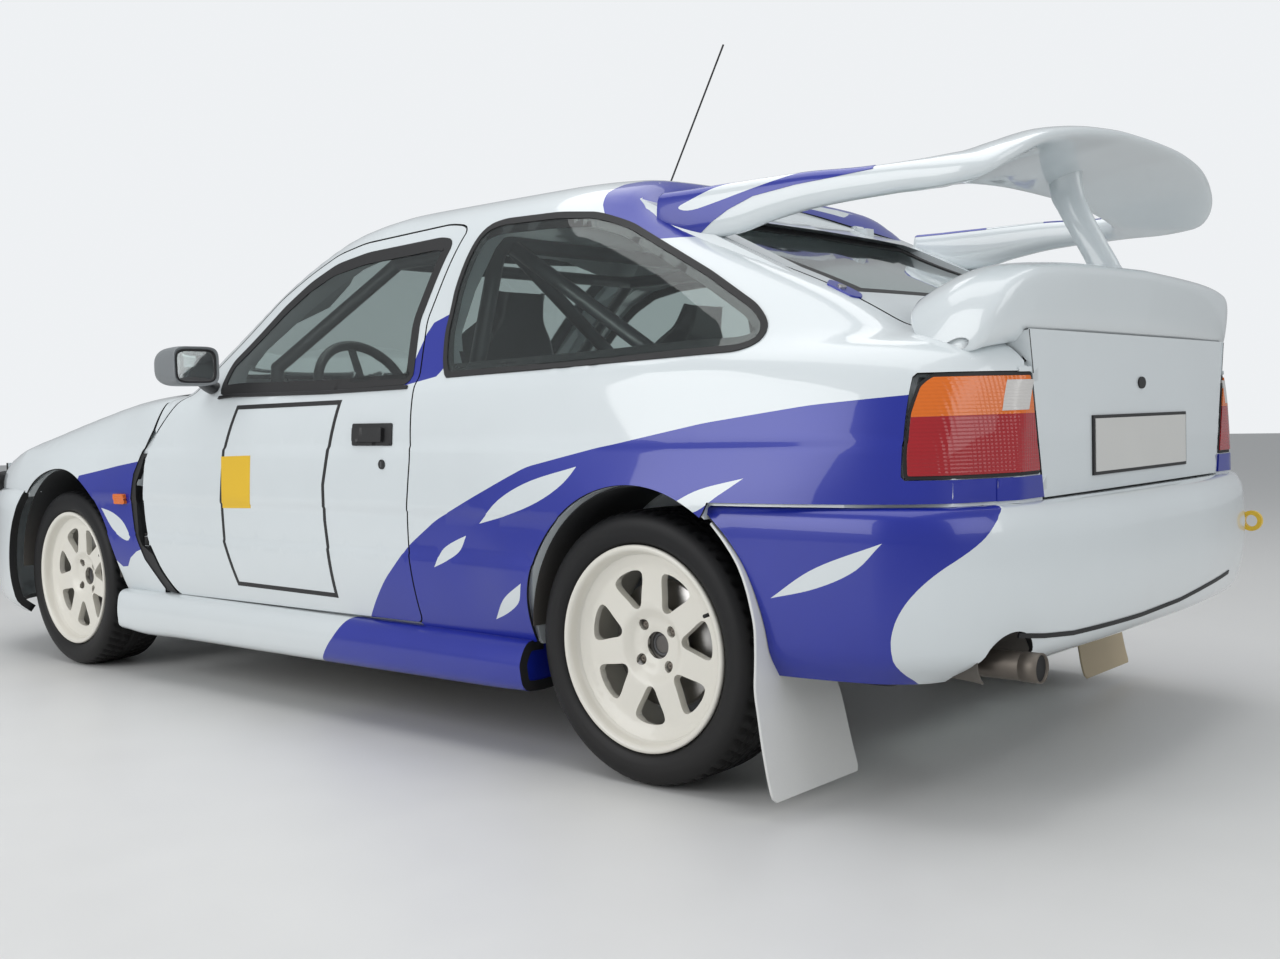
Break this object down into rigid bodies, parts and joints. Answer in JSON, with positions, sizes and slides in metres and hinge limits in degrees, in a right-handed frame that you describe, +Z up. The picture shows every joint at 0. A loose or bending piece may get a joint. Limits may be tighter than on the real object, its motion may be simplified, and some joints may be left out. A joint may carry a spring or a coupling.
{
  "type": "rally car",
  "caption": "Three-door rally hatchback with blistered arches, roll cage and a high rear wing; wheels roll, front wheels steer, doors and lids open.",
  "frame": {"origin": "on the floor, at the centre of the car's outline", "axes": "+X to the nose, +Y to the car's left, +Z up"},
  "size_m": [4.2065, 2.02, 1.7912],
  "materials": {
    "white_paint": "gloss white paint with deep blue livery",
    "underbody": "black underseal",
    "black_plastic": "textured black plastic",
    "cabin_plastic": "dark grey grained plastic",
    "window_glass": "lightly tinted safety glass",
    "lamp_lens": "red and amber ribbed lens",
    "headlamp_lens": "clear ribbed lens",
    "chassis_steel": "black chassis paint over steel",
    "exhaust_steel": "heat-stained steel",
    "engine_iron": "cast iron and alloy",
    "guard_alloy": "scuffed alloy plate",
    "cage_paint": "black painted tube",
    "seat_fabric": "black woven seat cloth",
    "flap_rubber": "white flexible sheet, yellowed on one side",
    "tow_paint": "yellow painted steel",
    "rim_paint": "ivory paint on cast alloy",
    "tyre": "black tyre rubber"
  },
  "bodies": {
    "chassis": {"body_shell": "white_paint", "floor_pan": "underbody", "front_wings": "white_paint", "front_bumper": "white_paint", "front_grille": "black_plastic", "rear_bumper": "white_paint", "side_skirts": "white_paint", "windscreen": "window_glass", "quarter_glass": "window_glass", "tail_lamps": "lamp_lens", "headlamps": "headlamp_lens", "front_suspension": "chassis_steel", "rear_suspension": "chassis_steel", "driveline": "chassis_steel", "exhaust": "exhaust_steel", "engine": "engine_iron", "sump_guard": "guard_alloy", "roll_cage": "cage_paint", "front_seats": "seat_fabric", "dashboard": "cabin_plastic", "mud_flaps": "flap_rubber", "antenna": "black_plastic", "tow_eyes": "tow_paint"},
    "bonnet": {"bonnet": "white_paint"},
    "tailgate": {"tailgate": "white_paint", "back_glass": "window_glass", "deck_spoiler": "white_paint", "tail_wing": "white_paint"},
    "door_left": {"door_left": "white_paint", "door_glass_left": "window_glass", "mirror_left": "black_plastic"},
    "door_right": {"door_right": "white_paint", "door_glass_right": "window_glass", "mirror_right": "black_plastic"},
    "steering_wheel": {"steering_wheel": "black_plastic"},
    "knuckle_left": {"knuckle_left": "chassis_steel"},
    "knuckle_right": {"knuckle_right": "chassis_steel"},
    "wheel_front_left": {"rim_front_left": "rim_paint", "tyre_front_left": "tyre"},
    "wheel_front_right": {"rim_front_right": "rim_paint", "tyre_front_right": "tyre"},
    "wheel_rear_left": {"rim_rear_left": "rim_paint", "tyre_rear_left": "tyre"},
    "wheel_rear_right": {"rim_rear_right": "rim_paint", "tyre_rear_right": "tyre"}
  },
  "joints": [
    {"name": "bonnet_hinge", "type": "hinge", "parent": "chassis", "child": "bonnet", "pos_m": [0.8655, 0, 0.872], "axis": [0, -1, 0], "range_deg": [0, 55]},
    {"name": "tailgate_hinge", "type": "hinge", "parent": "chassis", "child": "tailgate", "pos_m": [-1.1255, 0, 1.29], "axis": [0, 1, 0], "range_deg": [0, 72]},
    {"name": "door_left_hinge", "type": "hinge", "parent": "chassis", "child": "door_left", "pos_m": [0.7675, 0.825, 0.5], "axis": [0, 0, -1], "range_deg": [0, 62]},
    {"name": "door_right_hinge", "type": "hinge", "parent": "chassis", "child": "door_right", "pos_m": [0.7675, -0.825, 0.5], "axis": [0, 0, 1], "range_deg": [0, 62]},
    {"name": "steer_left", "type": "hinge", "parent": "chassis", "child": "knuckle_left", "pos_m": [1.2725, 0.658, 0.295], "axis": [0, -0.2465, 0.9691], "range_deg": [-31, 31]},
    {"name": "steer_right", "type": "hinge", "parent": "chassis", "child": "knuckle_right", "pos_m": [1.2725, -0.658, 0.295], "axis": [0, 0.2465, 0.9691], "range_deg": [-31, 31]},
    {"name": "steering_wheel_turn", "type": "hinge", "parent": "chassis", "child": "steering_wheel", "pos_m": [0.2415, 0.37, 0.8798], "axis": [-0.9143, 0, 0.405], "range_deg": [-450, 450]},
    {"name": "wheel_front_left_spin", "type": "hinge", "parent": "knuckle_left", "child": "wheel_front_left", "pos_m": [1.2725, 0.7325, 0.295], "axis": [0, 1, 0], "continuous": true},
    {"name": "wheel_front_right_spin", "type": "hinge", "parent": "knuckle_right", "child": "wheel_front_right", "pos_m": [1.2725, -0.7325, 0.295], "axis": [0, 1, 0], "continuous": true},
    {"name": "wheel_rear_left_spin", "type": "hinge", "parent": "chassis", "child": "wheel_rear_left", "pos_m": [-1.2785, 0.744, 0.295], "axis": [0, 1, 0], "continuous": true},
    {"name": "wheel_rear_right_spin", "type": "hinge", "parent": "chassis", "child": "wheel_rear_right", "pos_m": [-1.2785, -0.744, 0.295], "axis": [0, 1, 0], "continuous": true}
  ],
  "couplings": [
    {"joint": "steer_right", "follows": "steer_left", "ratio": 1},
    {"joint": "steering_wheel_turn", "follows": "steer_left", "ratio": 14}
  ]
}
